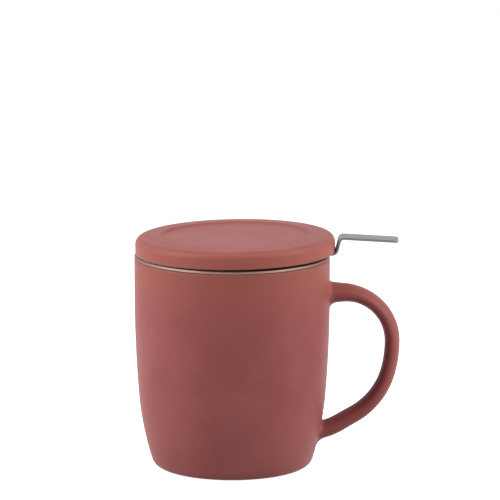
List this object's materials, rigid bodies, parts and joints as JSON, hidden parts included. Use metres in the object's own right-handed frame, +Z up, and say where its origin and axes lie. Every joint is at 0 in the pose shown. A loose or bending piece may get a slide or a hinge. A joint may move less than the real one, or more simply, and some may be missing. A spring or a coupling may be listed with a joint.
{
  "type": "lidded tea mug with infuser",
  "caption": "Stoneware tea mug with a loop handle, a lift-out pierced steel infuser with a strip handle, and a flat ceramic lid.",
  "frame": {"origin": "on the mug's axis, in the plane that the foot ring stands on", "axes": "+Z up along the mug's axis; +X from the axis towards the mug's handle and the infuser's strip handle; +Y across"},
  "size_m": [0.117, 0.0878, 0.1038],
  "materials": {
    "stoneware_glaze": "satin matt terracotta glaze",
    "lid_glaze": "satin matt terracotta glaze",
    "steel": "bright rolled stainless sheet",
    "pierced_steel": "satin stainless sheet, pierced",
    "brushed_strip": "brushed stainless strip"
  },
  "bodies": {
    "mug": {"mug_body": "stoneware_glaze", "mug_handle": "stoneware_glaze"},
    "infuser": {"infuser_rim": "steel", "infuser_wall": "pierced_steel", "infuser_floor": "pierced_steel", "infuser_base_band": "steel", "infuser_handle": "brushed_strip"},
    "lid": {"lid": "lid_glaze"}
  },
  "joints": [
    {"name": "infuser_lift", "type": "slide", "parent": "mug", "child": "infuser", "axis": [0, 0, 1], "range_m": [0, 0.09]},
    {"name": "lid_lift", "type": "slide", "parent": "infuser", "child": "lid", "axis": [0, 0, 1], "range_m": [0, 0.06]}
  ]
}
